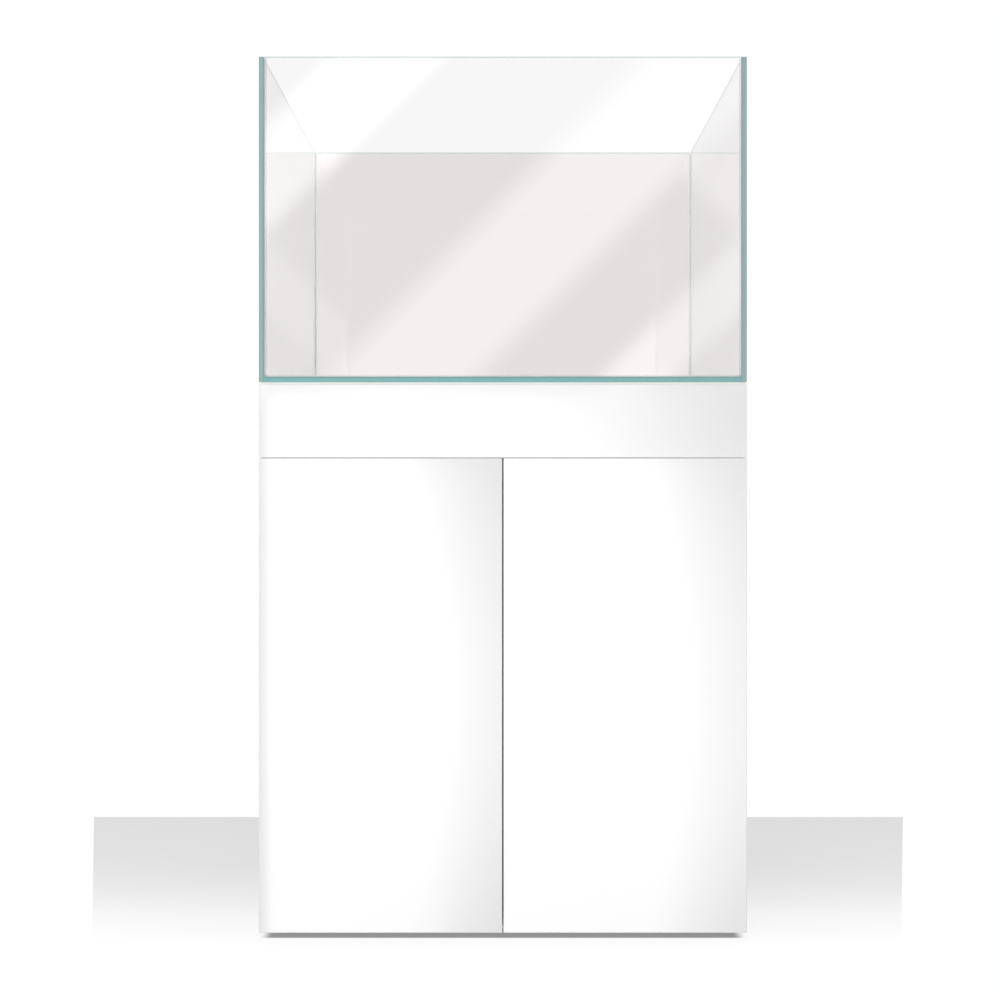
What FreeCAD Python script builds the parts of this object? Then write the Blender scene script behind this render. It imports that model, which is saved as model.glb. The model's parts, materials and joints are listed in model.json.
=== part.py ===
import FreeCAD, Part

import os

# A rimless glass aquarium on a two-door cabinet.  Millimetres.
# Origin: centre of the footprint on the floor.  +X right, the doors face -Y, +Z up.

V = FreeCAD.Vector
X_AXIS = V(1, 0, 0)
Y_AXIS = V(0, 1, 0)
Z_AXIS = V(0, 0, 1)

# ---- driving dimensions --------------------------------------------------------------------
WIDTH = 600.0              # tank and cabinet, outside
DEPTH = 450.0
CABINET_HEIGHT = 680.0     # floor to the top of the cabinet, glides included
MAT_THICKNESS = 3.0        # foam mat under the tank
TANK_HEIGHT = 400.0
GLASS = 6.0                # every pane
SEAM = 4.0                 # leg of a silicone bead
SEAM_STOP = 1.0            # the upright beads end this far below the rim
MAT_INSET = 1.0            # from the sides of the tank
BOARD = 18.0               # carcass boards
DOOR_THICKNESS = 16.0
GLIDE_HEIGHT = 6.0
FASCIA_HEIGHT = 90.0
DOOR_GAP = 1.5             # between the two doors
DOOR_CLEARANCE = 2.0       # between the doors and the carcass behind them
TOP_GAP = 0.5              # between the doors and the fascia
EDGE_ROUND = 0.8           # round on the edges of doors and fascia
RAIL_LAP = 20.0            # how far the rail reaches down behind the doors

# ---- places that follow from them ----------------------------------------------------------
HALF_W = WIDTH / 2
HALF_D = DEPTH / 2
FRONT = -HALF_D                              # face of doors and fascia
DOOR_BACK = FRONT + DOOR_THICKNESS
CARCASS_FRONT = DOOR_BACK + DOOR_CLEARANCE
INNER_X = HALF_W - BOARD                     # inner face of a side board
SIDE_MID_X = HALF_W - BOARD / 2              # middle of a side board
BASE_TOP = GLIDE_HEIGHT + BOARD
TOP_UNDER = CABINET_HEIGHT - BOARD
FASCIA_BOTTOM = CABINET_HEIGHT - FASCIA_HEIGHT
DOOR_TOP = FASCIA_BOTTOM - TOP_GAP
RAIL_BOTTOM = FASCIA_BOTTOM - RAIL_LAP
RAIL_MID_Y = CARCASS_FRONT + BOARD / 2
BACK_MID_Y = HALF_D - BOARD / 2
TANK_FLOOR = CABINET_HEIGHT + MAT_THICKNESS
TANK_TOP = TANK_FLOOR + TANK_HEIGHT
BASE_GLASS_TOP = TANK_FLOOR + GLASS

# ---- fittings ------------------------------------------------------------------------------
GLIDE_RADIUS = 8.0
GLIDE_ROWS_Y = (-190.0, 0.0, 190.0)
GLIDE_CHAMFER = 1.0
NAIL_RADIUS = 1.0
NAIL_REACH = 14.0
NAIL_HEAD_RADIUS = 3.0
NAIL_HEAD_THICKNESS = 1.0
NAIL_WELL = 3.0            # how far up inside the glide the head sits
CAM_RADIUS = 7.5
CAM_DEPTH = 12.5
CAM_BACKSET = 34.0         # seam to the middle of a cam
BOLT_RADIUS = 3.0
BOLT_PLAY = 0.5            # round the bolt, in the mouth of its cam
BOLT_HEAD_GAP = 5.0        # the bolt stops this far from the middle of its cam
THREAD_RADIUS = 2.5
THREAD_LENGTH = 11.0
DOWEL_RADIUS = 4.0
DOWEL_LENGTH = 30.0
DOWEL_INTO_EDGE = 19.0     # the part of a dowel in the end of a board
CAM_ROWS_Y = (-150.0, 150.0)         # on the joints of the top and base boards
DOWEL_ROWS_Y = (-60.0, 60.0)
RAIL_CAM_Z = 604.0
RAIL_DOWEL_Z = 640.0
BACK_CAMS_Z = (110.0, 540.0)
BACK_DOWELS_Z = (250.0, 420.0)
SCREW_RADIUS = 1.75
SCREW_HEAD_RADIUS = 3.5
FASCIA_SCREWS_X = (-210.0, -70.0, 70.0, 210.0)
FASCIA_SCREW_RADIUS = 2.0
FASCIA_SCREW_LENGTH = 30.0

CABLE_CUTOUT_X = 150.0
CABLE_CUTOUT_Z = 600.0
CABLE_CUTOUT_WIDTH = 110.0
CABLE_CUTOUT_HEIGHT = 50.0

SHELF_Z = 302.5
SHELF_FRONT = -150.0
SHELF_BACK = 200.0
SHELF_PLAY = 1.5
SHELF_PIN_RADIUS = 2.5
SHELF_PIN_DEPTH = 8.0
SHELF_PIN_ROWS_Y = (-110.0, 150.0)
SHELF_HOLE_PITCH = 32.0

LATCH_X = 30.0
LATCH_Z = GLIDE_HEIGHT + BOARD / 2
LATCH_RADIUS = 5.0
LATCH_LENGTH = 48.0
LATCH_BORE = 3.2
LATCH_CLOSED_END = 2.0
LATCH_COLLAR = 1.5                   # how far the collar stands out round the housing
LATCH_COLLAR_THICKNESS = 1.0
SPRING_WIRE = 0.35                   # radius of the wire
SPRING_PITCH = 1.8
SPRING_CLEARANCE = 0.25
PLUNGER_RADIUS = 3.0
PLUNGER_REACH = DOOR_BACK + 0.3      # the tip stands this close to the door
PLUNGER_LENGTH = 36.0
MAGNET_RADIUS = 2.2
MAGNET_LENGTH = 3.0
STRIKE_RADIUS = 7.0
STRIKE_THICKNESS = 0.8
BUMPER_RADIUS = 4.0
BUMPER_THICKNESS = 1.7
BUMPER_X = 12.0
BUMPER_ROUND = 0.8
BUMPER_DROP = 10.0                   # from the door's top to the middle of its upper bumper

# ---- concealed hinges, seen from above on the left door ------------------------------------
HINGE_HEIGHTS = (96.0, 499.0)
ARM_PIVOT = (-270.4, -203.0)         # fixed pivot, on the arm
CUP_PIVOT = (-289.3, -213.5)         # pivot in the cup, door closed
LINK_BENDS = ((-278.9, -214.8), (-283.0, -216.8))
LINK_HALF_WIDTH = 2.3
LINK_HEIGHT = 9.0
PIN_RADIUS = 1.25
PIN_CLEARANCE = 0.05
PIN_HEIGHT = 12.8
CUP_X = -277.5
CUP_RADIUS = 17.5
CUP_BORE = 16.5
CUP_DEPTH = 11.9
CUP_FLOOR = 1.0
CUP_RIM = 1.5
FLANGE_THICKNESS = 1.0               # let into the door, flush
FLANGE_HEIGHT = 62.0
FLANGE_SIDES = (-10.0, 11.0)         # from the middle of the cup
FLANGE_ROUND = 5.0
EAR_SIDES = (-3.2, 2.8)              # from the pin that the ears carry
EAR_REACH = 2.6                      # past the pin, towards the cabinet
EAR_THICKNESS = 2.2
EAR_PLAY = 0.3                       # between an ear and the link
EAR_ROOT = 0.2                       # how deep an ear runs into the floor of its cup
CUP_SCREW_X = -272.0
CUP_SCREW_OFFSET = 24.0
CUP_SCREW_LENGTH = 12.0
ARM_OUTER = 6.4                      # half height of the arm's channel
ARM_WALL = 1.5
ARM_WEB_X = -266.5
ARM_CHEEK_X = -276.0
ARM_FRONT = -206.2
ARM_REAR = -148.0
NOSE_BESIDE = 3.4                    # the arm's cheeks are cut back to this far beside its pin
NOSE_BEHIND = 8.0                    # and this far behind it
ARM_SCREWS_Y = (-182.0, -158.0)
ARM_SCREW_RADIUS = 2.0
ARM_SCREW_LENGTH = 10.0
ARM_SCREW_HEAD_RADIUS = 3.2
ARM_SCREW_HEAD_THICKNESS = 1.6
PLATE_THICKNESS = 1.5
PLATE_FRONT = -190.0
PLATE_REAR = -150.0
PLATE_HALF_HEIGHT = 24.0
PLATE_ROUND = 6.0
PLATE_SCREW_Y = -170.0
PLATE_SCREW_OFFSET = 16.0
PLATE_SCREW_LENGTH = 14.0

# ---- working values ------------------------------------------------------------------------
OVERCUT = 1.0              # how far a cutting tool runs past what it cuts
TOUCH = 0.1                # tolerance when edges are picked by their place

solids = {}      # node name -> list of its solids
tools = {}       # node name -> list of shapes cut away from it


def add(node, *shapes):
    solids.setdefault(node, []).extend(shapes)


def cut_away(node, *shapes):
    tools.setdefault(node, []).extend(shapes)


def block(x0, x1, y0, y1, z0, z1):
    low = V(min(x0, x1), min(y0, y1), min(z0, z1))
    return Part.makeBox(abs(x1 - x0), abs(y1 - y0), abs(z1 - z0), low)


def rod(start, direction, radius, length):
    return Part.makeCylinder(radius, length, start, direction)


def mirrored(shape):
    return shape.mirror(V(0, 0, 0), X_AXIS)


def both_sides(node, *shapes):
    """The shapes of the left side and their mirror images, in one node."""
    for shape in shapes:
        add(node, shape, mirrored(shape))


def each_side(name, *shapes):
    """The shapes in a left node, and their mirror images in a right node."""
    for shape in shapes:
        add("left_" + name, shape)
        add("right_" + name, mirrored(shape))


def cut_each_side(name, *shapes):
    for shape in shapes:
        cut_away("left_" + name, shape)
        cut_away("right_" + name, mirrored(shape))


def countersunk_screw(head, direction, length, radius=SCREW_RADIUS):
    """A flat-headed screw: head is the middle of its head, flush with the surface."""
    cone_depth = SCREW_HEAD_RADIUS - radius
    cone = Part.makeCone(SCREW_HEAD_RADIUS, radius, cone_depth, head, direction)
    shank = rod(head, direction, radius, length)
    return cone.fuse(shank).removeSplitter()


def cross_recess(centre, direction, across, size=4.0, width=1.1, depth=1.2):
    """The tool that cuts a cross slot into a round head."""
    other = direction.cross(across)
    bars = []
    for along, beside in ((across, other), (other, across)):
        corner = centre - along * (size / 2) - beside * (width / 2) - direction * OVERCUT
        bar = Part.makeBox(size, width, depth + OVERCUT)
        bar.Placement = FreeCAD.Placement(corner, FreeCAD.Rotation(along, beside, direction, "XYZ"))
        bars.append(bar)
    return bars[0].fuse(bars[1])


# ---- carcass -------------------------------------------------------------------------------
def carcass():
    add("top_board", block(-HALF_W, HALF_W, CARCASS_FRONT, HALF_D, TOP_UNDER, CABINET_HEIGHT))
    each_side("side_board", block(-HALF_W, -INNER_X, CARCASS_FRONT, HALF_D, GLIDE_HEIGHT, TOP_UNDER))
    add("base_board", block(-INNER_X, INNER_X, CARCASS_FRONT, HALF_D, GLIDE_HEIGHT, BASE_TOP))
    add("back_board", block(-INNER_X, INNER_X, HALF_D - BOARD, HALF_D, BASE_TOP, TOP_UNDER))
    rail_back = CARCASS_FRONT + BOARD
    add("front_rail", block(-INNER_X, INNER_X, CARCASS_FRONT, rail_back, RAIL_BOTTOM, TOP_UNDER))
    for x in (-CABLE_CUTOUT_X, CABLE_CUTOUT_X):
        cut_away("back_board", cable_cutout(x))


def cable_cutout(x):
    """A slot with round ends through the back board, for hoses and cables."""
    radius = CABLE_CUTOUT_HEIGHT / 2
    straight = CABLE_CUTOUT_WIDTH / 2 - radius
    front = HALF_D - BOARD - OVERCUT
    middle = block(x - straight, x + straight, front, HALF_D + OVERCUT,
                   CABLE_CUTOUT_Z - radius, CABLE_CUTOUT_Z + radius)
    for end in (x - straight, x + straight):
        middle = middle.fuse(rod(V(end, front, CABLE_CUTOUT_Z), Y_AXIS, radius, BOARD + 2 * OVERCUT))
    return middle


def fascia():
    board = block(-HALF_W, HALF_W, FRONT, CARCASS_FRONT, FASCIA_BOTTOM, CABINET_HEIGHT)
    front_edges = [edge for edge in board.Edges if edge.CenterOfMass.y < FRONT + TOUCH]
    add("fascia_board", board.makeFillet(EDGE_ROUND, front_edges))
    for x in FASCIA_SCREWS_X:
        head = V(x, CARCASS_FRONT + BOARD, (FASCIA_BOTTOM + TOP_UNDER) / 2)
        screw = countersunk_screw(head, -Y_AXIS, FASCIA_SCREW_LENGTH, FASCIA_SCREW_RADIUS)
        cut_away("fascia_board", screw)
        cut_away("front_rail", screw)
        add("fascia_screws", screw.cut(cross_recess(head, -Y_AXIS, X_AXIS)))


# ---- knock-down joints ---------------------------------------------------------------------
def cam_joint(cam_board, bolt_board, seam, along, face_normal):
    """A cam let into the face of one board pulls a bolt that is screwed into the other.
    seam is on the bolt's axis in the plane where the boards meet, along points into bolt_board."""
    cam_middle = seam - along * CAM_BACKSET
    face = cam_middle + face_normal * (BOARD / 2)
    pocket = rod(face, -face_normal, CAM_RADIUS, CAM_DEPTH)
    shaft_start = cam_middle + along * BOLT_HEAD_GAP
    shaft = rod(shaft_start, along, BOLT_RADIUS, CAM_BACKSET - BOLT_HEAD_GAP)
    thread = rod(seam, along, THREAD_RADIUS, THREAD_LENGTH)
    bolt = shaft.fuse(thread).removeSplitter()
    mouth = rod(cam_middle, along, BOLT_RADIUS + BOLT_PLAY, CAM_RADIUS + OVERCUT)
    cam = pocket.cut(mouth).cut(cross_recess(face, -face_normal, along, 8.0, 1.6, 2.5))
    cut_away(cam_board, pocket, shaft)
    cut_away(bolt_board, thread)
    add("cam_discs", cam)
    add("cam_bolts", bolt)


def dowel(edge_board, face_board, seam, along):
    """A wood dowel from the end of edge_board into face_board."""
    peg = rod(seam - along * DOWEL_INTO_EDGE, along, DOWEL_RADIUS, DOWEL_LENGTH)
    cut_away(edge_board, peg)
    cut_away(face_board, peg)
    add("wood_dowels", peg)


def knock_down_joints():
    for side, name in ((-1, "left_side_board"), (1, "right_side_board")):
        outward = V(side, 0, 0)
        inward = V(-side, 0, 0)
        seam_x = side * INNER_X
        for y in CAM_ROWS_Y:
            cam_joint(name, "top_board", V(side * SIDE_MID_X, y, TOP_UNDER), Z_AXIS, inward)
            cam_joint("base_board", name, V(seam_x, y, GLIDE_HEIGHT + BOARD / 2), outward, -Z_AXIS)
        for y in DOWEL_ROWS_Y:
            dowel(name, "top_board", V(side * SIDE_MID_X, y, TOP_UNDER), Z_AXIS)
            dowel("base_board", name, V(seam_x, y, GLIDE_HEIGHT + BOARD / 2), outward)
        cam_joint("front_rail", name, V(seam_x, RAIL_MID_Y, RAIL_CAM_Z), outward, Y_AXIS)
        dowel("front_rail", name, V(seam_x, RAIL_MID_Y, RAIL_DOWEL_Z), outward)
        for z in BACK_CAMS_Z:
            cam_joint("back_board", name, V(seam_x, BACK_MID_Y, z), outward, -Y_AXIS)
        for z in BACK_DOWELS_Z:
            dowel("back_board", name, V(seam_x, BACK_MID_Y, z), outward)


# ---- shelf and feet ------------------------------------------------------------------------
def shelf():
    reach = INNER_X - SHELF_PLAY
    add("shelf_board", block(-reach, reach, SHELF_FRONT, SHELF_BACK, SHELF_Z, SHELF_Z + BOARD))
    pin_z = SHELF_Z - SHELF_PIN_RADIUS
    for y in SHELF_PIN_ROWS_Y:
        start = V(-INNER_X - SHELF_PIN_DEPTH, y, pin_z)
        both_sides("shelf_pins", rod(start, X_AXIS, SHELF_PIN_RADIUS, 2 * SHELF_PIN_DEPTH))
        for step in (-1, 0, 1):
            hole_start = start + Z_AXIS * (step * SHELF_HOLE_PITCH)
            hole = rod(hole_start, X_AXIS, SHELF_PIN_RADIUS, SHELF_PIN_DEPTH + OVERCUT)
            cut_each_side("side_board", hole)


def glides():
    for y in GLIDE_ROWS_Y:
        foot = V(-SIDE_MID_X, y, 0)
        disc = rod(foot, Z_AXIS, GLIDE_RADIUS, GLIDE_HEIGHT)
        rim = [edge for edge in disc.Edges if edge.CenterOfMass.z < TOUCH]
        disc = disc.makeChamfer(GLIDE_CHAMFER, rim)
        head = foot + Z_AXIS * NAIL_WELL
        shank = rod(head, Z_AXIS, NAIL_RADIUS, NAIL_REACH)
        nail = rod(head, Z_AXIS, NAIL_HEAD_RADIUS, NAIL_HEAD_THICKNESS).fuse(shank).removeSplitter()
        well = rod(foot, Z_AXIS, NAIL_HEAD_RADIUS, NAIL_WELL)
        both_sides("glides", disc.cut(nail).cut(well))
        both_sides("glide_nails", nail)
        cut_each_side("side_board", nail)


# ---- doors ---------------------------------------------------------------------------------
def doors():
    panel = block(-HALF_W, -DOOR_GAP / 2, FRONT, DOOR_BACK, GLIDE_HEIGHT, DOOR_TOP)
    each_side("door_panel", panel.makeFillet(EDGE_ROUND, panel.Edges))
    for z in (LATCH_Z, DOOR_TOP - BUMPER_DROP):
        pad = rod(V(-BUMPER_X, DOOR_BACK, z), Y_AXIS, BUMPER_RADIUS, BUMPER_THICKNESS)
        face_y = DOOR_BACK + BUMPER_THICKNESS
        rim = [edge for edge in pad.Edges if edge.Closed and edge.CenterOfMass.y > face_y - TOUCH]
        each_side("door_bumpers", pad.makeFillet(BUMPER_ROUND, rim))
    plate = rod(V(-LATCH_X, DOOR_BACK - STRIKE_THICKNESS, LATCH_Z), Y_AXIS, STRIKE_RADIUS, STRIKE_THICKNESS)
    each_side("strike_plate", plate)
    cut_each_side("door_panel", plate)


def link_outline():
    """The link from above: rounded bars between its pivots and bends, fused."""
    points = [V(x, y, 0) for x, y in (ARM_PIVOT,) + LINK_BENDS + (CUP_PIVOT,)]
    shape = None
    for start, end in zip(points, points[1:]):
        run = end - start
        bar = Part.makeBox(run.Length, 2 * LINK_HALF_WIDTH, LINK_HEIGHT)
        across = Z_AXIS.cross(run).normalize()
        turn = FreeCAD.Rotation(run, across, Z_AXIS, "XYZ")
        bar.Placement = FreeCAD.Placement(start - across * LINK_HALF_WIDTH, turn)
        knuckle = rod(end, Z_AXIS, LINK_HALF_WIDTH, LINK_HEIGHT)
        shape = bar.fuse(knuckle) if shape is None else shape.fuse([bar, knuckle])
    shape = shape.fuse(rod(points[0], Z_AXIS, LINK_HALF_WIDTH, LINK_HEIGHT))
    return shape.removeSplitter()


def hinge_link(z):
    link = link_outline()
    link.translate(V(0, 0, z - LINK_HEIGHT / 2))
    for x, y in (ARM_PIVOT, CUP_PIVOT):
        bore = rod(V(x, y, z - LINK_HEIGHT), Z_AXIS, PIN_RADIUS + PIN_CLEARANCE, 2 * LINK_HEIGHT)
        link = link.cut(bore)
    return link


def pivot_pin(place, z):
    return rod(V(place[0], place[1], z - PIN_HEIGHT / 2), Z_AXIS, PIN_RADIUS, PIN_HEIGHT)


def hinge_cup(z):
    """A round steel cup in the door, with two ears that carry its pivot pin, and a flange let in
    flush.  Returns the cup and the pocket that it needs."""
    mouth = V(CUP_X, DOOR_BACK, z)
    body = rod(mouth, -Y_AXIS, CUP_RADIUS, CUP_DEPTH)
    flange_front = DOOR_BACK - FLANGE_THICKNESS
    flange = block(CUP_X + FLANGE_SIDES[0], CUP_X + FLANGE_SIDES[1], flange_front, DOOR_BACK,
                   z - FLANGE_HEIGHT / 2, z + FLANGE_HEIGHT / 2)
    upright = [edge for edge in flange.Edges if abs(edge.tangentAt(edge.FirstParameter).y) > 0.9]
    flange = flange.makeFillet(FLANGE_ROUND, upright)
    rim = rod(V(CUP_X, flange_front, z), Y_AXIS, CUP_RADIUS + CUP_RIM, FLANGE_THICKNESS)
    pocket = body.fuse([flange, rim]).removeSplitter()
    cup = pocket.cut(rod(mouth, -Y_AXIS, CUP_BORE, CUP_DEPTH - CUP_FLOOR))
    floor_y = DOOR_BACK - CUP_DEPTH + CUP_FLOOR
    ear_low = LINK_HEIGHT / 2 + EAR_PLAY
    pin_x, pin_y = CUP_PIVOT
    for side in (-1, 1):
        ear = block(pin_x + EAR_SIDES[0], pin_x + EAR_SIDES[1], floor_y - EAR_ROOT, pin_y + EAR_REACH,
                    z + side * ear_low, z + side * (ear_low + EAR_THICKNESS))
        cup = cup.fuse(ear)
    cup = cup.cut(pivot_pin(CUP_PIVOT, z)).removeSplitter()
    return cup, pocket


def hinge_arm(z):
    """A channel with its back to the inside of the cabinet, over the block of its plate."""
    outer = block(ARM_CHEEK_X, ARM_WEB_X + ARM_WALL, ARM_FRONT, ARM_REAR, z - ARM_OUTER, z + ARM_OUTER)
    past_cheeks = ARM_CHEEK_X - OVERCUT
    past_front = ARM_FRONT - OVERCUT
    hollow = block(past_cheeks, ARM_WEB_X, past_front, ARM_REAR + OVERCUT,
                   z - ARM_OUTER + ARM_WALL, z + ARM_OUTER - ARM_WALL)
    nose = block(past_cheeks, ARM_PIVOT[0] - NOSE_BESIDE, past_front, ARM_PIVOT[1] + NOSE_BEHIND,
                 z - ARM_OUTER - OVERCUT, z + ARM_OUTER + OVERCUT)
    return outer.cut(hollow).cut(nose).cut(pivot_pin(ARM_PIVOT, z))


def hinge_plate(z):
    foot = block(-INNER_X, -INNER_X + PLATE_THICKNESS, PLATE_FRONT, PLATE_REAR,
                 z - PLATE_HALF_HEIGHT, z + PLATE_HALF_HEIGHT)
    corners = [edge for edge in foot.Edges if abs(edge.tangentAt(edge.FirstParameter).x) > 0.9]
    foot = foot.makeFillet(PLATE_ROUND, corners)
    half = ARM_OUTER - ARM_WALL
    saddle = block(-INNER_X, ARM_WEB_X, PLATE_FRONT, PLATE_REAR, z - half, z + half)
    return foot.fuse(saddle).removeSplitter()


def hinges():
    for z in HINGE_HEIGHTS:
        cup, pocket = hinge_cup(z)
        cup_screws = []
        for side in (-1, 1):
            head = V(CUP_SCREW_X, DOOR_BACK, z + side * CUP_SCREW_OFFSET)
            cup_screws.append((head, countersunk_screw(head, -Y_AXIS, CUP_SCREW_LENGTH)))
        for head, screw in cup_screws:
            cup = cup.cut(screw)
            each_side("cup_screws", screw.cut(cross_recess(head, -Y_AXIS, X_AXIS)))
            cut_each_side("door_panel", screw)
        each_side("hinge_cups", cup)
        cut_each_side("door_panel", pocket)
        each_side("cup_pins", pivot_pin(CUP_PIVOT, z))
        each_side("hinge_links", hinge_link(z))
        both_sides("arm_pins", pivot_pin(ARM_PIVOT, z))
        arm = hinge_arm(z)
        plate = hinge_plate(z)
        for side in (-1, 1):
            head = V(-INNER_X + PLATE_THICKNESS, PLATE_SCREW_Y, z + side * PLATE_SCREW_OFFSET)
            screw = countersunk_screw(head, -X_AXIS, PLATE_SCREW_LENGTH)
            plate = plate.cut(screw)
            cut_each_side("side_board", screw)
            both_sides("plate_screws", screw.cut(cross_recess(head, -X_AXIS, Y_AXIS)))
        for y in ARM_SCREWS_Y:
            head = V(ARM_WEB_X + ARM_WALL + ARM_SCREW_HEAD_THICKNESS, y, z)
            cap = rod(head, -X_AXIS, ARM_SCREW_HEAD_RADIUS, ARM_SCREW_HEAD_THICKNESS)
            screw = cap.fuse(rod(head, -X_AXIS, ARM_SCREW_RADIUS, ARM_SCREW_LENGTH)).removeSplitter()
            arm = arm.cut(screw)
            plate = plate.cut(screw)
            both_sides("arm_screws", screw.cut(cross_recess(head, -X_AXIS, Y_AXIS, 4.4, 1.0, 1.0)))
        both_sides("hinge_arms", arm)
        both_sides("hinge_plates", plate)


# ---- push latches --------------------------------------------------------------------------
def latch_spring(x, start_y, length):
    """A closely wound wire between the bottom of the housing and the plunger."""
    mean = LATCH_BORE - SPRING_WIRE - SPRING_CLEARANCE
    helix = Part.makeHelix(SPRING_PITCH, length - 2 * SPRING_WIRE, mean)
    profile = Part.Wire(Part.Circle(V(mean, 0, 0), Y_AXIS, SPRING_WIRE).toShape())
    coil = Part.Wire(helix.Edges).makePipeShell([profile], True, True)
    coil.rotate(V(0, 0, 0), X_AXIS, 90)
    coil.translate(V(x, start_y - SPRING_WIRE, LATCH_Z))
    return coil


def push_latches():
    mouth = V(-LATCH_X, CARCASS_FRONT, LATCH_Z)
    sleeve = rod(mouth, Y_AXIS, LATCH_RADIUS, LATCH_LENGTH)
    collar_front = mouth - Y_AXIS * LATCH_COLLAR_THICKNESS
    collar = rod(collar_front, Y_AXIS, LATCH_RADIUS + LATCH_COLLAR, LATCH_COLLAR_THICKNESS)
    bore_end = CARCASS_FRONT + LATCH_LENGTH - LATCH_CLOSED_END
    bore_start = collar_front - Y_AXIS * OVERCUT
    bore = rod(bore_start, Y_AXIS, LATCH_BORE, bore_end - bore_start.y)
    housing = sleeve.fuse(collar).cut(bore).removeSplitter()
    both_sides("latch_housings", housing)
    cut_away("base_board", sleeve, mirrored(sleeve))
    tip = V(-LATCH_X, PLUNGER_REACH, LATCH_Z)
    plunger = rod(tip, Y_AXIS, PLUNGER_RADIUS, PLUNGER_LENGTH)
    magnet = rod(tip, Y_AXIS, MAGNET_RADIUS, MAGNET_LENGTH)
    each_side("latch_plunger", plunger.cut(magnet))
    each_side("latch_magnet", magnet)
    room = bore_end - (PLUNGER_REACH + PLUNGER_LENGTH)
    both_sides("latch_springs", latch_spring(-LATCH_X, bore_end, room))


# ---- tank ----------------------------------------------------------------------------------
def tank():
    inner = HALF_W - GLASS
    mat_x = HALF_W - MAT_INSET
    mat_y = HALF_D - MAT_INSET
    add("levelling_mat", block(-mat_x, mat_x, -mat_y, mat_y, CABINET_HEIGHT, TANK_FLOOR))
    add("tank_base_pane", block(-inner, inner, -HALF_D, HALF_D, TANK_FLOOR, BASE_GLASS_TOP))
    add("tank_front_pane", block(-inner, inner, -HALF_D, -HALF_D + GLASS, BASE_GLASS_TOP, TANK_TOP))
    add("tank_back_pane", block(-inner, inner, HALF_D - GLASS, HALF_D, BASE_GLASS_TOP, TANK_TOP))
    add("tank_left_pane", block(-HALF_W, -inner, -HALF_D, HALF_D, TANK_FLOOR, TANK_TOP))
    add("tank_right_pane", block(inner, HALF_W, -HALF_D, HALF_D, TANK_FLOOR, TANK_TOP))
    silicone(inner, HALF_D - GLASS)


def silicone(reach_x, reach_y):
    """Beads in the four upright corners, and one bead all round the floor."""
    bead_base = BASE_GLASS_TOP + SEAM
    for side_x in (-1, 1):
        for side_y in (-1, 1):
            corner = V(side_x * reach_x, side_y * reach_y, bead_base)
            leg_x = corner - X_AXIS * (side_x * SEAM)
            leg_y = corner - Y_AXIS * (side_y * SEAM)
            outline = Part.Face(Part.makePolygon([corner, leg_x, leg_y, corner]))
            add("corner_seams", outline.extrude(Z_AXIS * (TANK_TOP - SEAM_STOP - bead_base)))
    outer = block(-reach_x, reach_x, -reach_y, reach_y, BASE_GLASS_TOP, bead_base)
    low = rectangle(reach_x - SEAM, reach_y - SEAM, BASE_GLASS_TOP)
    high = rectangle(reach_x, reach_y, bead_base)
    add("floor_seam", outer.cut(Part.makeLoft([low, high], True, True)))


def rectangle(half_x, half_y, z):
    signs = ((-1, -1), (1, -1), (1, 1), (-1, 1), (-1, -1))
    return Part.makePolygon([V(x * half_x, y * half_y, z) for x, y in signs])


# ---- build and export ----------------------------------------------------------------------
def build():
    carcass()
    fascia()
    knock_down_joints()
    shelf()
    glides()
    doors()
    hinges()
    push_latches()
    tank()


def finished(node):
    """The node's solids with everything cut away that other pieces need."""
    shapes = solids[node]
    if node in tools:
        shapes = [shape.cut(tools[node]) for shape in shapes]
    return shapes


def export():
    os.makedirs("parts", exist_ok=True)
    for node in sorted(solids):
        shapes = finished(node)
        count = sum(len(shape.Solids) for shape in shapes)
        whole = shapes[0] if len(shapes) == 1 else Part.makeCompound(shapes)
        whole.exportStep("parts/" + node + ".step")
        valid = all(shape.isValid() for shape in shapes)
        print(f"{node:20s} solids {count:2d}  volume {whole.Volume / 1000:10.2f} cm3  valid {valid}")


build()
export()
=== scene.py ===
import json
import math

import bpy
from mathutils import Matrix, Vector


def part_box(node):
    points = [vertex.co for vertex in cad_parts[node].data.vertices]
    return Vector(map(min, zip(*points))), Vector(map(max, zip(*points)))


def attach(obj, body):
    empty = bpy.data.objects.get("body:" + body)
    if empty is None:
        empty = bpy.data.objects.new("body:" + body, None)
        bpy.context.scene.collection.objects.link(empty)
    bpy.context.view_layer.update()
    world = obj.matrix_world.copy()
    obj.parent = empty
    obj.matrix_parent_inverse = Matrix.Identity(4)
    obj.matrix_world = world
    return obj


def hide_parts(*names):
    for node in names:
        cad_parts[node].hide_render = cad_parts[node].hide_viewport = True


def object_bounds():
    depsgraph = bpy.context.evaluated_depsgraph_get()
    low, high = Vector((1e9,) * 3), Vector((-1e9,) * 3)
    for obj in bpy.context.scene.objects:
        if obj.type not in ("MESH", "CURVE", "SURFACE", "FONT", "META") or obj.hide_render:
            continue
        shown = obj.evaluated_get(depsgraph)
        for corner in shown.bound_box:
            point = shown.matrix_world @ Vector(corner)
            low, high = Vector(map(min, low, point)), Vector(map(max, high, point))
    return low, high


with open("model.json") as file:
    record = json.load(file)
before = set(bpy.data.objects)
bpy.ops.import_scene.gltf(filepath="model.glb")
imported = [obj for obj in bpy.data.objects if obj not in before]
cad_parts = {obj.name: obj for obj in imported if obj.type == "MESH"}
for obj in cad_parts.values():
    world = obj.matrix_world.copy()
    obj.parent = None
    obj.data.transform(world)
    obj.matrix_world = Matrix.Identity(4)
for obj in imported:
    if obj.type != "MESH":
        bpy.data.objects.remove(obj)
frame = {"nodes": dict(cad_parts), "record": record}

# A rimless aquarium on a white lacquered cabinet.  Metres, the doors face -Y, +Z up.

CAD_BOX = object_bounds()
MM = 0.001
NODES = frame["nodes"]


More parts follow.
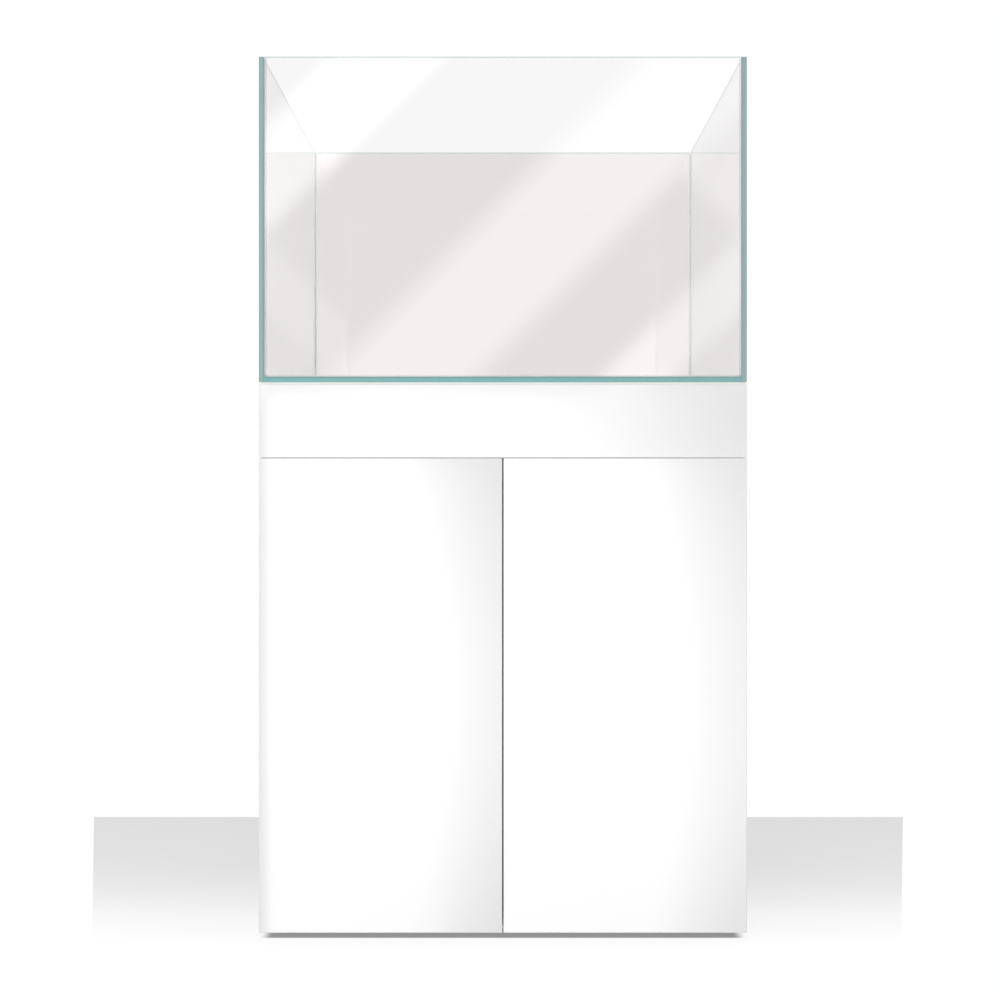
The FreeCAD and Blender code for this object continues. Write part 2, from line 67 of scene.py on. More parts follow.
# ---- shader maths ---------------------------------------------------------------------------
class Value:
    """A socket that Python's operators work on: each one adds a Math node."""

    def __init__(self, shader, socket):
        self.shader = shader
        self.socket = socket

    def math(self, operation, *others):
        return self.shader.node("ShaderNodeMath", {"operation": operation}, self, *others)

    def __add__(self, other):
        return self.math("ADD", other)

    def __mul__(self, other):
        return self.math("MULTIPLY", other)

    def __sub__(self, other):
        return self.math("SUBTRACT", other)

    def __rsub__(self, other):
        return self.shader.node("ShaderNodeMath", {"operation": "SUBTRACT"}, other, self)

    def __truediv__(self, other):
        return self.math("DIVIDE", other)

    __radd__ = __add__
    __rmul__ = __mul__


class Shader:
    """A material or a world, whose nodes are added one by one."""

    def __init__(self, name, holder=None):
        self.owner = holder or bpy.data.materials.new(name)
        self.owner.use_nodes = True
        self.tree = self.owner.node_tree
        self.tree.nodes.clear()

    def node(self, kind, settings=None, *values, output=0, **named):
        made = self.tree.nodes.new(kind)
        for key, setting in (settings or {}).items():
            if key == "stops":
                self.set_stops(made.color_ramp, setting)
            else:
                setattr(made, key, setting)
        for place, value in list(enumerate(values)) + list(named.items()):
            key = place if isinstance(place, int) else place.replace("_", " ")
            self.feed(made.inputs[key], value)
        return Value(self, made.outputs[output]) if made.outputs else None

    def feed(self, socket, value):
        if isinstance(value, Value):
            self.tree.links.new(value.socket, socket)
        elif value is not None:
            socket.default_value = value

    @staticmethod
    def set_stops(ramp, stops):
        while len(ramp.elements) < len(stops):
            ramp.elements.new(0.5)
        for element, (position, colour) in zip(ramp.elements, stops):
            element.position = position
            element.color = (*colour, 1.0)

    def place(self):
        """The point's place, in the object's own frame."""
        return self.node("ShaderNodeTexCoord", output="Object")

    def axes(self, vector):
        """The vector's x, y and z."""
        split = self.node("ShaderNodeSeparateXYZ", None, vector)
        return [Value(self, socket) for socket in split.socket.node.outputs]

    def noise(self, scale, detail=2.0, where=None):
        return self.node("ShaderNodeTexNoise", None, Vector=where or self.place(), Scale=scale, Detail=detail)

    def cells(self, scale):
        """The distance to the middle of the nearest of many scattered cells."""
        return self.node("ShaderNodeTexVoronoi", {"feature": "F1"}, Vector=self.place(), Scale=scale)

    def stretched(self, x, y, z):
        """The point's place, scaled by axis, for a pattern that runs one way."""
        return self.node("ShaderNodeMapping", None, self.place(), Scale=(x, y, z))

    def between(self, value, low, high):
        """value from 0 to 1, moved to the range from low to high."""
        return value * (high - low) + low

    def ramp(self, factor, *stops):
        return self.node("ShaderNodeValToRGB", {"stops": stops}, factor)

    def clamped(self, value):
        return self.node("ShaderNodeClamp", None, value)

    def smooth(self, value, low, high):
        """0 below low, 1 above high, and a smooth rise between them."""
        settings = {"interpolation_type": "SMOOTHSTEP"}
        return self.node("ShaderNodeMapRange", settings, value, low, high, 0.0, 1.0)

    def mix(self, factor, first, second):
        """Two colours mixed by factor.  The node's sockets for numbers and vectors come before those
        for colours, so the sockets go by number."""
        mixed = self.node("ShaderNodeMix", {"data_type": "RGBA"}, output=2)
        inputs = mixed.socket.node.inputs
        for place, value in ((0, factor), (6, first), (7, second)):
            self.feed(inputs[place], value)
        return mixed

    def bump(self, height, distance=1.0):
        return self.node("ShaderNodeBump", None, Strength=1.0, Distance=distance, Height=height)

    def surface(self, **values):
        return self.node("ShaderNodeBsdfPrincipled", None, **values)

    def finish(self, shader):
        target = "World" if isinstance(self.owner, bpy.types.World) else "Material"
        self.node("ShaderNodeOutput" + target, None, shader)
        return self.owner


def rgb(red, green, blue):
    return (red, green, blue, 1.0)


# ---- materials ------------------------------------------------------------------------------
ORANGE_PEEL = 0.012 * MM
ROLL_WIDTH = 34 * MM                 # how far from a left edge the lacquer starts to round over
ROLL_TILT = math.radians(4.4)        # how far it leans at that edge


def lacquer(name, bow_from, bow_to, tilt, left_edge=None):
    """Polished white lacquer.  The face is flat up to bow_from, from there it leans more and more,
    by tilt at bow_to, and it rounds over near left_edge."""
    s = Shader(name)
    x = s.axes(s.place())[0]
    run = bow_to - bow_from
    bow = s.clamped((x - bow_from) / run)
    height = bow * bow * (1 - bow / 3) * (-run * math.tan(tilt))
    if left_edge is not None:
        near = s.clamped(((left_edge + ROLL_WIDTH) - x) / ROLL_WIDTH)
        height = height + near * near * (-0.5 * ROLL_WIDTH * math.tan(ROLL_TILT))
    peel = s.noise(260.0, 1.0) * ORANGE_PEEL
    cloud = s.noise(6.0, 2.0)
    bump = s.bump(height + peel)
    colour = s.mix(cloud, rgb(0.90, 0.90, 0.905), rgb(0.925, 0.925, 0.93))
    rough = s.between(s.noise(18.0, 3.0), 0.05, 0.11)
    return s.finish(s.surface(Base_Color=colour, Roughness=rough, IOR=1.8, Normal=bump))


def melamine():
    """Satin white board with a fine pearl texture."""
    s = Shader("white_melamine")
    pearl = s.noise(900.0, 2.0)
    cloud = s.noise(7.0, 3.0)
    colour = s.mix(cloud, rgb(0.80, 0.80, 0.79), rgb(0.84, 0.84, 0.835))
    rough = s.between(s.noise(40.0, 3.0), 0.36, 0.48)
    bump = s.bump(pearl, distance=0.05 * MM)
    return s.finish(s.surface(Base_Color=colour, Roughness=rough, IOR=1.5, Normal=bump))


def float_glass(name, tint):
    """Clear glass.  Lamps shine straight through it."""
    s = Shader(name)
    glass = s.surface(Base_Color=rgb(*tint), Roughness=0.0, IOR=1.5, Transmission_Weight=1.0)
    straight = s.node("ShaderNodeBsdfTransparent", None, rgb(*tint))
    lamp = s.node("ShaderNodeLightPath", output="Is Shadow Ray")
    return s.finish(s.node("ShaderNodeMixShader", None, lamp, glass, straight))


def glass_edge(name, deep, pale, alpha=1.0):
    """The green-blue of a cut and polished edge, where one looks along the pane."""
    s = Shader(name)
    streak = s.noise(1.0, 3.0, where=s.stretched(90.0, 90.0, 90.0))
    drift = s.noise(3.5, 2.0)
    colour = s.mix(s.clamped(drift * 0.8 + streak * 0.35 - 0.1), rgb(*deep), rgb(*pale))
    bump = s.bump(s.noise(400.0, 2.0), distance=0.02 * MM)
    return s.finish(s.surface(Base_Color=colour, Roughness=0.16, IOR=1.5, Specular_IOR_Level=0.2,
                              Alpha=alpha, Normal=bump))


def silicone():
    """Clear sealant: a little milky in the thick of the bead."""
    s = Shader("clear_silicone")
    waves = s.noise(55.0, 3.0)
    bump = s.bump(waves, distance=0.3 * MM)
    colour = s.mix(waves, rgb(0.90, 0.91, 0.91), rgb(0.97, 0.975, 0.975))
    milk = s.between(waves, 0.24, 0.44)
    return s.finish(s.surface(Base_Color=colour, Roughness=0.25, IOR=1.41, Alpha=milk, Normal=bump))


def foam():
    """White closed-cell foam, with the pores of its cut edge."""
    s = Shader("white_foam")
    pores = s.cells(900.0)
    colour = s.mix(s.clamped(pores), rgb(0.97, 0.97, 0.97), rgb(0.90, 0.90, 0.90))
    bump = s.bump(pores, distance=0.25 * MM)
    return s.finish(s.surface(Base_Color=colour, Roughness=0.8, Normal=bump))


def plated_steel():
    """Nickel-plated pressings, with the faint grain of the rolled sheet."""
    s = Shader("nickel_plate")
    grain = s.noise(1.0, 4.0, where=s.stretched(300.0, 300.0, 2600.0))
    cloud = s.noise(60.0, 2.0)
    colour = s.mix(cloud, rgb(0.66, 0.64, 0.61), rgb(0.76, 0.75, 0.73))
    rough = s.between(grain, 0.16, 0.34)
    bump = s.bump(grain, distance=0.02 * MM)
    return s.finish(s.surface(Base_Color=colour, Roughness=rough, Metallic=1.0, Normal=bump))


def zinc_plate():
    """Zinc-plated screws and bolts, with a dull spangle."""
    s = Shader("zinc_plate")
    spangle = s.cells(450.0)
    colour = s.mix(s.clamped(spangle), rgb(0.54, 0.56, 0.58), rgb(0.70, 0.71, 0.70))
    rough = s.between(s.clamped(spangle), 0.28, 0.46)
    bump = s.bump(spangle, distance=0.05 * MM)
    return s.finish(s.surface(Base_Color=colour, Roughness=rough, Metallic=1.0, Normal=bump))


def beech():
    """Bare wood with its grain."""
    s = Shader("raw_beech")
    grain = s.noise(1.0, 5.0, where=s.stretched(900.0, 900.0, 60.0))
    dark, middle, light = (0.46, 0.29, 0.15), (0.66, 0.46, 0.27), (0.74, 0.55, 0.35)
    colour = s.ramp(grain, (0.25, dark), (0.55, middle), (0.8, light))
    bump = s.bump(grain, distance=0.1 * MM)
    return s.finish(s.surface(Base_Color=colour, Roughness=0.7, Normal=bump))


def moulded(name, low, high, roughness):
    """Moulded plastic with a fine spark-eroded grain."""
    s = Shader(name)
    grain = s.noise(1500.0, 2.0)
    colour = s.mix(s.noise(80.0, 2.0), rgb(*low), rgb(*high))
    bump = s.bump(grain, distance=0.04 * MM)
    rough = s.between(grain, roughness - 0.05, roughness + 0.05)
    return s.finish(s.surface(Base_Color=colour, Roughness=rough, Normal=bump))


def magnet_face():
    """The dark grey face of a sintered magnet."""
    s = Shader("magnet_face")
    grain = s.noise(1200.0, 2.0)
    colour = s.mix(grain, rgb(0.20, 0.20, 0.21), rgb(0.32, 0.32, 0.33))
    bump = s.bump(grain, distance=0.03 * MM)
    return s.finish(s.surface(Base_Color=colour, Roughness=0.35, Metallic=1.0, Normal=bump))


# ---- modelling ------------------------------------------------------------------------------
def deselect():
    bpy.ops.object.select_all(action="DESELECT")


def only(piece):
    """Selects one piece and makes it the active one."""
    deselect()
    piece.select_set(True)
    bpy.context.view_layer.objects.active = piece


def named(name):
    """The active object, with its new name."""
    piece = bpy.context.object
    piece.name = name
    piece.data.name = name
    return piece


def block(name, low, high):
    """A box from its lowest to its highest corner, with its place in its mesh."""
    deselect()
    middle = (Vector(low) + Vector(high)) / 2
    bpy.ops.mesh.primitive_cube_add(size=1.0, location=middle)
    piece = named(name)
    piece.scale = Vector(high) - Vector(low)
    bpy.ops.object.transform_apply(location=True, rotation=True, scale=True)
    return piece


def rod(name, middle, axis, radius, length, sides=48):
    """A cylinder round its middle, with its place in its mesh."""
    deselect()
    turn = Vector(axis).to_track_quat("Z", "Y").to_euler()
    bpy.ops.mesh.primitive_cylinder_add(vertices=sides, radius=radius, depth=length,
                                        location=middle, rotation=turn)
    piece = named(name)
    bpy.ops.object.transform_apply(location=True, rotation=True, scale=True)
    return piece


def edit(piece, mode, wanted):
    """Enters edit mode with the faces or edges that wanted picks by their place and direction."""
    only(piece)
    bpy.ops.object.mode_set(mode="EDIT")
    bpy.ops.mesh.select_mode(type=mode)
    bpy.ops.mesh.select_all(action="DESELECT")
    bpy.ops.object.mode_set(mode="OBJECT")
    mesh = piece.data
    if mode == "FACE":
        for face in mesh.polygons:
            face.select = wanted(face.center, face.normal)
    else:
        for line in mesh.edges:
            start, end = (mesh.vertices[v].co for v in line.vertices)
            line.select = wanted((start + end) / 2, (end - start).normalized())
    bpy.ops.object.mode_set(mode="EDIT")


def leave():
    bpy.ops.object.mode_set(mode="OBJECT")


def every(place, direction):
    return True


def round_edges(piece, width, segments=3, wanted=every):
    edit(piece, "EDGE", wanted)
    bpy.ops.mesh.bevel(offset=width, segments=segments, affect="EDGES", profile=0.5)
    leave()


def modify(piece, kind, **settings):
    """Adds a modifier and applies it."""
    only(piece)
    modifier = piece.modifiers.new(kind.lower(), kind)
    for key, value in settings.items():
        setattr(modifier, key, value)
    bpy.ops.object.modifier_apply(modifier=modifier.name)


def cut(piece, *cutters):
    """Takes the cutters' shapes out of the piece."""
    for cutter in cutters:
        modify(piece, "BOOLEAN", operation="DIFFERENCE", solver="EXACT", object=cutter)
        bpy.data.objects.remove(cutter)


def smooth(piece, angle=40.0):
    """Smooth bevels beside faces that stay flat."""
    only(piece)
    bpy.ops.object.shade_smooth_by_angle(angle=math.radians(angle))
    modify(piece, "WEIGHTED_NORMAL", keep_sharp=True, weight=100)


def join(name, pieces):
    deselect()
    for piece in pieces:
        piece.select_set(True)
    bpy.context.view_layer.objects.active = pieces[0]
    bpy.ops.object.join()
    return named(name)


def coat(piece, *materials):
    """Takes the piece's materials off and gives it these."""
    piece.data.materials.clear()
    for material in materials:
        piece.data.materials.append(material)


def body_of(node):
    for body, members in frame["record"]["behaviour"]["bodies"].items():
        if node in members:
            return body


def slot_of(node):
    for entry in frame["record"]["subparts"]:
        if entry["node"] == node:
            return entry["material_slot"]


def stands_for(piece, node):
    """The piece rides on its node's body and takes the node's place; the node's slot is looked up but not
    used.
    """
    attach(piece, body_of(node))
    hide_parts(node)
    slot_of(node)


# ---- tank -----------------------------------------------------------------------------------
ARRIS = 0.7 * MM
GLUE_LINE = 0.02 * MM                # between two pieces that are glued together
FLAT = 0.999                         # a face's normal runs along an axis
BEAD_HOLLOW = 1.25                   # radius of a bead's hollow face, against its leg
BEAD_REACH = 1.18                    # from the corner to the middle of the hollow's circle, against its leg
X, Y, Z = range(3)


def pane(name, node, glass, edge, rim, clear_ends=False):
    """A pane with ground arrises: clear faces, and green-blue edges, with a painted highlight, a paler
    half-clear copy, on those that face up or back.  With clear_ends the ends along X stay clear, under the
    side panes."""
    low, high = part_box(node)
    skin = Vector((GLUE_LINE, GLUE_LINE, GLUE_LINE))
    piece = block(name, low + skin, high - skin)
    size = high - low
    thin = min((X, Y, Z), key=lambda axis: size[axis])
    round_edges(piece, ARRIS, segments=2)
    materials = [glass, edge, rim]
    coat(piece, *materials)
    for face in piece.data.polygons:
        normal = face.normal
        leading = max((X, Y, Z), key=lambda axis: abs(normal[axis]))
        if leading == thin and abs(normal[thin]) > FLAT or clear_ends and leading == X:
            finish = glass
        # Painted highlight: edges that face up or back get the paler, half-clear rim.
        elif leading in (Y, Z) and normal[leading] > 0:
            finish = rim
        else:
            finish = edge
        face.material_index = materials.index(finish)
    smooth(piece, 25.0)
    stands_for(piece, node)


def bead(name, start, end, side_a, side_b, leg):
    """A tooled bead of sealant from start to end, in the corner between two panes.  side_a and
    side_b point from the corner into the tank."""
    inward = Vector(side_a) + Vector(side_b)
    start = Vector(start) + inward * GLUE_LINE
    end = Vector(end) + inward * GLUE_LINE
    far = end + inward * leg
    low = [min(a, b) for a, b in zip(start, far)]
    high = [max(a, b) for a, b in zip(start, far)]
    piece = block(name, low, high)
    run = end - start
    middle = (start + end) / 2 + inward * leg * BEAD_REACH
    past_both_ends = run.length * 1.1
    cut(piece, rod("hollow", middle, run, leg * BEAD_HOLLOW, past_both_ends, sides=64))
    return piece


def tank(glass_front, glass_back, glass_side, edge_side, edge_floor, rim, sealant):
    pane("front_glass", "tank_front_pane", glass_front, edge_side, rim)
    pane("back_glass", "tank_back_pane", glass_back, edge_side, rim)
    pane("left_glass", "tank_left_pane", glass_side, edge_side, rim)
    pane("right_glass", "tank_right_pane", glass_side, edge_side, rim)
    pane("floor_glass", "tank_base_pane", glass_front, edge_floor, rim, clear_ends=True)
    beads(sealant)


def beads(sealant):
    """A bead in each upright corner, and four round the floor."""
    low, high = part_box("floor_seam")
    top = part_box("corner_seams")[1].z
    leg = high.z - low.z
    corners = ((low.x, low.y, 1, 1), (high.x, low.y, -1, 1),
               (high.x, high.y, -1, -1), (low.x, high.y, 1, -1))
    upright = []
    for x, y, in_x, in_y in corners:
        upright.append(bead("bead", (x, y, low.z), (x, y, top), (in_x, 0, 0), (0, in_y, 0), leg))
    flat = []
    for (x, y, in_x, in_y), (next_x, next_y, _, _) in zip(corners, corners[1:] + corners[:1]):
        inward = (0, in_y, 0) if y == next_y else (in_x, 0, 0)
        flat.append(bead("bead", (x, y, low.z), (next_x, next_y, low.z), inward, (0, 0, 1), leg))
    for name, node, runs in (("corner_beads", "corner_seams", upright), ("floor_beads", "floor_seam", flat)):
        piece = join(name, runs)
        coat(piece, sealant)
        smooth(piece, 35.0)
        stands_for(piece, node)


# ---- lacquered panels -----------------------------------------------------------------------
PANEL_ROUND = 0.8 * MM
CUP_RADIUS = 17.5 * MM
CUP_RIM_RADIUS = 19.0 * MM
FLANGE_DEPTH = 1.0 * MM
FLANGE_HALF_HEIGHT = 31.0 * MM
FLANGE_INNER = 11.0 * MM             # from the middle of the cup, towards the middle of the cabinet
FLANGE_OUTER = 10.0 * MM             # and away from it
FLANGE_ROUND = 5.0 * MM
OVERCUT = 1.0 * MM                   # how far a cutting tool stands out of what it cuts


def sunk(name, middle_x, back, z, radius, depth):
    """The tool for a round pocket, depth deep into the back of a door."""
    middle = (middle_x, back + (OVERCUT - depth) / 2, z)
    return rod(name, middle, (0, 1, 0), radius, depth + OVERCUT, sides=64)


def hinge_pockets(side, inward):
    """The tools that cut the round pocket and the shallow flange pocket of each hinge cup.  inward
    is the sign of X from the cups towards the middle of the cabinet."""
    low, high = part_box(side + "_hinge_cups")
    middle_x = (low.x + high.x) / 2
    back = high.y
    flange = sorted((middle_x + inward * FLANGE_INNER, middle_x - inward * FLANGE_OUTER))
    tools = []
    for z in (low.z + FLANGE_HALF_HEIGHT, high.z - FLANGE_HALF_HEIGHT):
        plate = block("plate", (flange[0], back - FLANGE_DEPTH, z - FLANGE_HALF_HEIGHT),
                      (flange[1], back + OVERCUT, z + FLANGE_HALF_HEIGHT))
        round_edges(plate, FLANGE_ROUND, 6, lambda place, direction: abs(direction.y) > 0.9)
        tools.append(sunk("pocket", middle_x, back, z, CUP_RADIUS, back - low.y))
        tools.append(sunk("rim", middle_x, back, z, CUP_RIM_RADIUS, FLANGE_DEPTH))
        tools.append(plate)
    return tools


def panel(name, node, material, *tools):
    """A board with rounded edges and the tools' shapes cut out of it."""
    low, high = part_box(node)
    board = block(name, low, high)
    round_edges(board, PANEL_ROUND, 4)
    cut(board, *tools)
    coat(board, material)
    smooth(board)
    stands_for(board, node)


def panels(left_lacquer, right_lacquer, fascia_lacquer):
    panel("fascia", "fascia_board", fascia_lacquer)
    for side, inward, material in (("left", 1, left_lacquer), ("right", -1, right_lacquer)):
        low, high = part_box(side + "_strike_plate")
        middle = (low + high) / 2 + Vector((0, OVERCUT / 2, 0))
        radius = (high.x - low.x) / 2
        recess = rod("recess", middle, (0, 1, 0), radius, high.y - low.y + OVERCUT)
        panel(side + "_door_front", side + "_door_panel", material, *hinge_pockets(side, inward), recess)


# ---- carcass --------------------------------------------------------------------------------
BOARD_EDGE = 0.5 * MM                # how far a board's edges are broken
PRESSED_EDGE = 0.15 * MM
TURNED_EDGE = 0.3 * MM
SHARP = math.radians(50.0)           # an edge that turns by more than this gets broken
SAME_POINT = 0.005 * MM


def edged(name, node, material, width):
    """The node's own shape with its sharp edges broken."""
    deselect()
    source = NODES[node]
    source.select_set(True)
    bpy.context.view_layer.objects.active = source
    bpy.ops.object.duplicate()
    piece = named(name)
    piece.parent = None
    for key in list(piece.keys()):
        del piece[key]
    edit(piece, "FACE", every)
    bpy.ops.mesh.remove_doubles(threshold=SAME_POINT)
    bpy.ops.mesh.dissolve_limited(angle_limit=math.radians(1.0))
    leave()
    modify(piece, "BEVEL", width=width, segments=2, limit_method="ANGLE", angle_limit=SHARP)
    coat(piece, material)
    smooth(piece)
    stands_for(piece, node)


def carcass(board):
    for node in ("top_board", "left_side_board", "right_side_board", "base_board", "back_board",
                 "front_rail", "shelf_board"):
        edged(node.replace("_board", "") + "_panel", node, board, BOARD_EDGE)


PRESSED = ("hinge_arms", "hinge_plates", "left_hinge_cups", "right_hinge_cups", "left_hinge_links",
           "right_hinge_links", "left_strike_plate", "right_strike_plate")
TURNED = ("cam_discs", "shelf_pins", "latch_housings", "glides", "levelling_mat")


def fittings(finishes):
    """Pressed and turned parts get their edges broken, the smallest keep their CAD shape, and each
    gets its finish."""
    for nodes, width in ((PRESSED, PRESSED_EDGE), (TURNED, TURNED_EDGE)):
        for node in nodes:
            edged("soft_" + node, node, finishes[slot_of(node)], width)
    for node, part in NODES.items():
        slot = slot_of(node)
        if slot in finishes:
            coat(part, finishes[slot])


# ---- stage, lights and camera ---------------------------------------------------------------
CAMERA_DISTANCE = 1.6                # from the front of the tank
CAMERA_HEIGHT = 0.538
VIEW_WIDTH = 1.2288                  # what the camera sees at that distance
CAMERA_SHIFT = -0.00285
SENSOR = 36.0                        # millimetres, as the camera takes them

FLOOR_HALF_WIDTH = 0.6865
FLOOR_MIDDLE = -0.0075
FLOOR_BACK = 0.385
FLOOR_FRONT = -0.62
PAINTED_FLOOR_LIGHT = ((-0.62, 0.98), (-0.30, 0.905), (-0.2035, 0.84), (-0.141, 0.80), (-0.074, 0.73), (0.0, 0.668),
               (0.0785, 0.633), (0.165, 0.608), (0.385, 0.578))      # painted light: how bright the floor's glow is at each depth
PAINTED_SHADOW_TONE = 0.22                    # painted shadow: how bright the floor's glow is under the cabinet
PAINTED_SHADOW_FADE = 16 * MM

# How bright each part of the world is.
SEEN = 1.01                          # to the camera, also through glass
AMBIENT = 0.575                      # to matt surfaces
BEHIND = 0.89                        # the wall behind the tank, in gloss
DIM = 0.2                            # the room in front of the tank, in gloss
SOFTBOX_LIGHT = 2.9

# Where gloss mirrors the lights in front, as slopes: to the right or up, over the way ahead.
TANK_FLOOR_SLOPE = 0.0906            # the strips stand above this, the soft box below it
TANK_FLOOR_BLUR = 0.010
STRIPS = (                           # left end, right end and softness of each strip, and its light
    (-0.470, -0.388, 0.016, 2.1),
    (-0.230, -0.115, 0.020, 0.95),
    (-0.019, 0.038, 0.016, 1.3),
)
FASCIA_SLOPES = (0.030, 0.034)       # the soft box ends elsewhere in the fascia than in the doors
DOOR_END = 0.221                     # right end of the soft box in the doors, at its widest
DOOR_END_CURVE = 0.046               # how far that end comes in, one half height from there
DOOR_MIDDLE = -0.165
DOOR_HALF_HEIGHT = 0.17
DOOR_FADE = 0.06
FASCIA_END = 0.118
FASCIA_FADE = 0.08
LEFT_END = -0.30
LEFT_FADE = 0.10

AIM = (0, CAD_BOX[0].y, 0.55)
LAMPS = (                            # name, place, what it points at, width and power
    ("key", (-1.6, -2.8, 1.0), AIM, 1.6, 21.0),
    ("fill", (0.4, -3.0, 0.0), AIM, 2.2, 16.5),
    ("top", (0, 0.1, 3.0), (0, 0, 0.6), 1.6, 42.0),
    ("rear", (-2.0, 2.4, 1.3), (0, 0, 0.5), 1.6, 15.0),
    ("rear", (2.0, 2.4, 1.3), (0, 0, 0.5), 1.6, 15.0),
)


def camera():
    front = CAD_BOX[0].y
    deselect()
    bpy.ops.object.camera_add(location=(0, front - CAMERA_DISTANCE, CAMERA_HEIGHT),
                              rotation=(math.radians(90), 0, 0))
    lens = bpy.context.object
    lens.data.sensor_width = SENSOR
    lens.data.lens = SENSOR * CAMERA_DISTANCE / VIEW_WIDTH
    lens.data.shift_x = CAMERA_SHIFT
    bpy.context.scene.camera = lens


def studio_world():
    """White for what is seen directly or through glass, softer for matt surfaces.  Gloss mirrors
    a dim room in front of the tank, with a broad soft box and, higher up, three slanting strip
    lights."""
    world = bpy.data.worlds.new("studio")
    bpy.context.scene.world = world
    s = Shader("studio", world)
    path = s.node("ShaderNodeLightPath").socket.node.outputs
    mirrored = s.clamped(Value(s, path["Glossy Depth"]))
    matt = s.clamped(Value(s, path["Diffuse Depth"]))
    x, y, z = s.axes(s.node("ShaderNodeTexCoord", output="Generated"))
    ahead = y.math("ABSOLUTE").math("MAXIMUM", 0.05)
    across = x / ahead
    up = z / ahead
    overhead = s.smooth(up, TANK_FLOOR_SLOPE - TANK_FLOOR_BLUR, TANK_FLOOR_SLOPE)
    front = overhead * strip_lights(s, across - up) + (1 - overhead) * softbox(s, across, up) + DIM
    behind = s.smooth(y, -0.2, 0.2)
    room = behind * BEHIND + (1 - behind) * front
    strength = matt * AMBIENT + (1 - matt) * (mirrored * room + (1 - mirrored) * SEEN)
    s.finish(s.node("ShaderNodeBackground", None, rgb(1, 1, 1), strength))


def strip_lights(s, slant):
    strips = 0.0
    for low, high, soft, light in STRIPS:
        strip = s.smooth(slant, low - soft, low + soft) * (1 - s.smooth(slant, high - soft, high + soft))
        strips = strip * light + strips
    return strips


def softbox(s, across, up):
    """A broad light whose right end fades, and in the doors comes in towards their top and foot."""
    fascia = s.smooth(up, *FASCIA_SLOPES)
    level = (up - DOOR_MIDDLE) / DOOR_HALF_HEIGHT
    end = (1 - fascia) * (DOOR_END - level * level * DOOR_END_CURVE) + fascia * FASCIA_END
    reach = (1 - fascia) * DOOR_FADE + fascia * FASCIA_FADE
    right_fade = s.clamped((across - end) / reach * 0.5 + 0.5)
    left_fade = s.clamped((across - LEFT_END) / LEFT_FADE + 0.5)
    return (1 - right_fade) * left_fade * SOFTBOX_LIGHT


def lamp(name, place, target, size, power):
    """A square lamp that lights the object and shows in nothing."""
    deselect()
    bpy.ops.object.light_add(type="AREA", location=place)
    light = bpy.context.object
    light.name = name
    light.rotation_euler = (Vector(target) - Vector(place)).to_track_quat("-Z", "Y").to_euler()
    light.data.shape = "SQUARE"
    light.data.size = size
    light.data.energy = power
    light.visible_glossy = False
    light.visible_transmission = False


def floor():
    """A pale sheet whose sides run towards the camera.  It glows by itself with painted light, white in front
    and greyer towards the back, and a painted shadow makes it dark only under the cabinet."""
    deselect()
    bpy.ops.mesh.primitive_plane_add(size=1.0, location=(FLOOR_MIDDLE, (FLOOR_FRONT + FLOOR_BACK) / 2, 0))
    sheet = named("studio_floor")
    sheet.scale = (2 * FLOOR_HALF_WIDTH, FLOOR_BACK - FLOOR_FRONT, 1)
    bpy.ops.object.transform_apply(location=True, rotation=True, scale=True)
    lens_y = CAD_BOX[0].y - CAMERA_DISTANCE
    narrowing = (FLOOR_FRONT - lens_y) / (FLOOR_BACK - lens_y)
    edit(sheet, "EDGE", lambda place, direction: place.y < FLOOR_FRONT + MM)
    bpy.ops.transform.resize(value=(narrowing, 1, 1))
    leave()
    coat(sheet, floor_painted_light())
    sheet.visible_glossy = False
    sheet.visible_diffuse = False


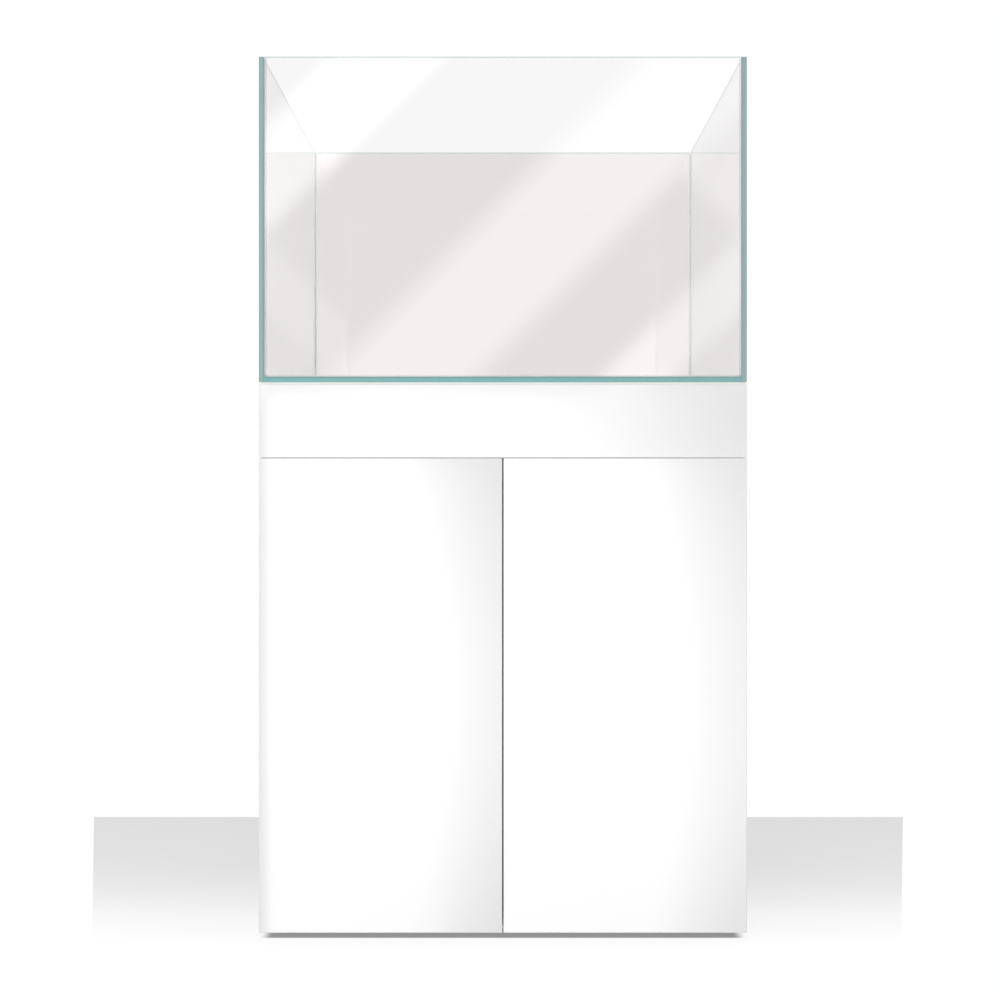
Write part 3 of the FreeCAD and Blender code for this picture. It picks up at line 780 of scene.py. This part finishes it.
def floor_painted_light():
    s = Shader("studio_floor")
    x, y = s.axes(s.place())[:2]
    depth = FLOOR_BACK - FLOOR_FRONT
    # Painted light: the floor's glow, greyer towards the back and white in front.
    stops = [((place - FLOOR_FRONT) / depth, (grey, grey, grey)) for place, grey in PAINTED_FLOOR_LIGHT]
    tone = s.ramp(s.clamped((y - FLOOR_FRONT) / depth), *stops)
    # Painted shadow: the glow goes dark grey under the cabinet's footprint.
    low, high = CAD_BOX
    between_sides = s.smooth(x.math("ABSOLUTE"), high.x, high.x - PAINTED_SHADOW_FADE)
    behind_front = s.smooth(y, low.y - MM, low.y + MM)
    before_back = s.smooth(y, high.y, high.y - PAINTED_SHADOW_FADE)
    under = between_sides * behind_front * before_back
    glow = s.mix(under, tone, rgb(PAINTED_SHADOW_TONE, PAINTED_SHADOW_TONE, PAINTED_SHADOW_TONE))
    return s.finish(s.surface(Base_Color=rgb(0.12, 0.12, 0.12), Roughness=0.8, Specular_IOR_Level=0.1,
                              Emission_Color=glow, Emission_Strength=1.0))


def studio():
    camera()
    studio_world()
    floor()
    for settings in LAMPS:
        lamp(*settings)
    bpy.context.scene.view_settings.view_transform = "Standard"


# ---- the whole scene ------------------------------------------------------------------------
LEFT_BOW = (-0.25, math.radians(6.3))      # where each panel starts to lean, and how far at its edge
RIGHT_BOW = (0.185, math.radians(1.0))
FASCIA_BOW = (0.09, math.radians(0.5))


def panel_lacquer(name, node, bow, rolled):
    """The lacquer of one panel, which leans towards its right edge and may roll over at its left."""
    low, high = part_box(node)
    start, tilt = bow
    return lacquer(name, start, high.x, tilt, low.x if rolled else None)


def build():
    finishes = {
        "foam": foam(),
        "nickel_steel": plated_steel(),
        "zinc": zinc_plate(),
        "beech": beech(),
        "white_plastic": moulded("white_plastic", (0.72, 0.72, 0.71), (0.80, 0.80, 0.79), 0.45),
        "magnet": magnet_face(),
        "clear_rubber": moulded("clear_rubber", (0.74, 0.76, 0.76), (0.82, 0.84, 0.84), 0.3),
    }
    clear = float_glass("clear_glass", (0.985, 0.98, 0.98))
    back = float_glass("back_glass", (0.875, 0.84, 0.84))
    side = float_glass("side_glass", (0.99, 0.975, 0.975))
    edge_side = glass_edge("side_edge", (0.28, 0.43, 0.42), (0.36, 0.50, 0.48))
    edge_floor = glass_edge("floor_edge", (0.17, 0.46, 0.45), (0.29, 0.50, 0.49))
    # Painted highlight: the rim is a paler, half-clear copy of the edge, for edges that face up or back.
    rim = glass_edge("rim_edge_painted_highlight", (0.56, 0.76, 0.74), (0.64, 0.82, 0.80), 0.4)
    tank(clear, back, side, edge_side, edge_floor, rim, silicone())
    panels(panel_lacquer("left_door_lacquer", "left_door_panel", LEFT_BOW, rolled=True),
           panel_lacquer("right_door_lacquer", "right_door_panel", RIGHT_BOW, rolled=False),
           panel_lacquer("fascia_lacquer", "fascia_board", FASCIA_BOW, rolled=True))
    carcass(melamine())
    fittings(finishes)
    studio()


build()
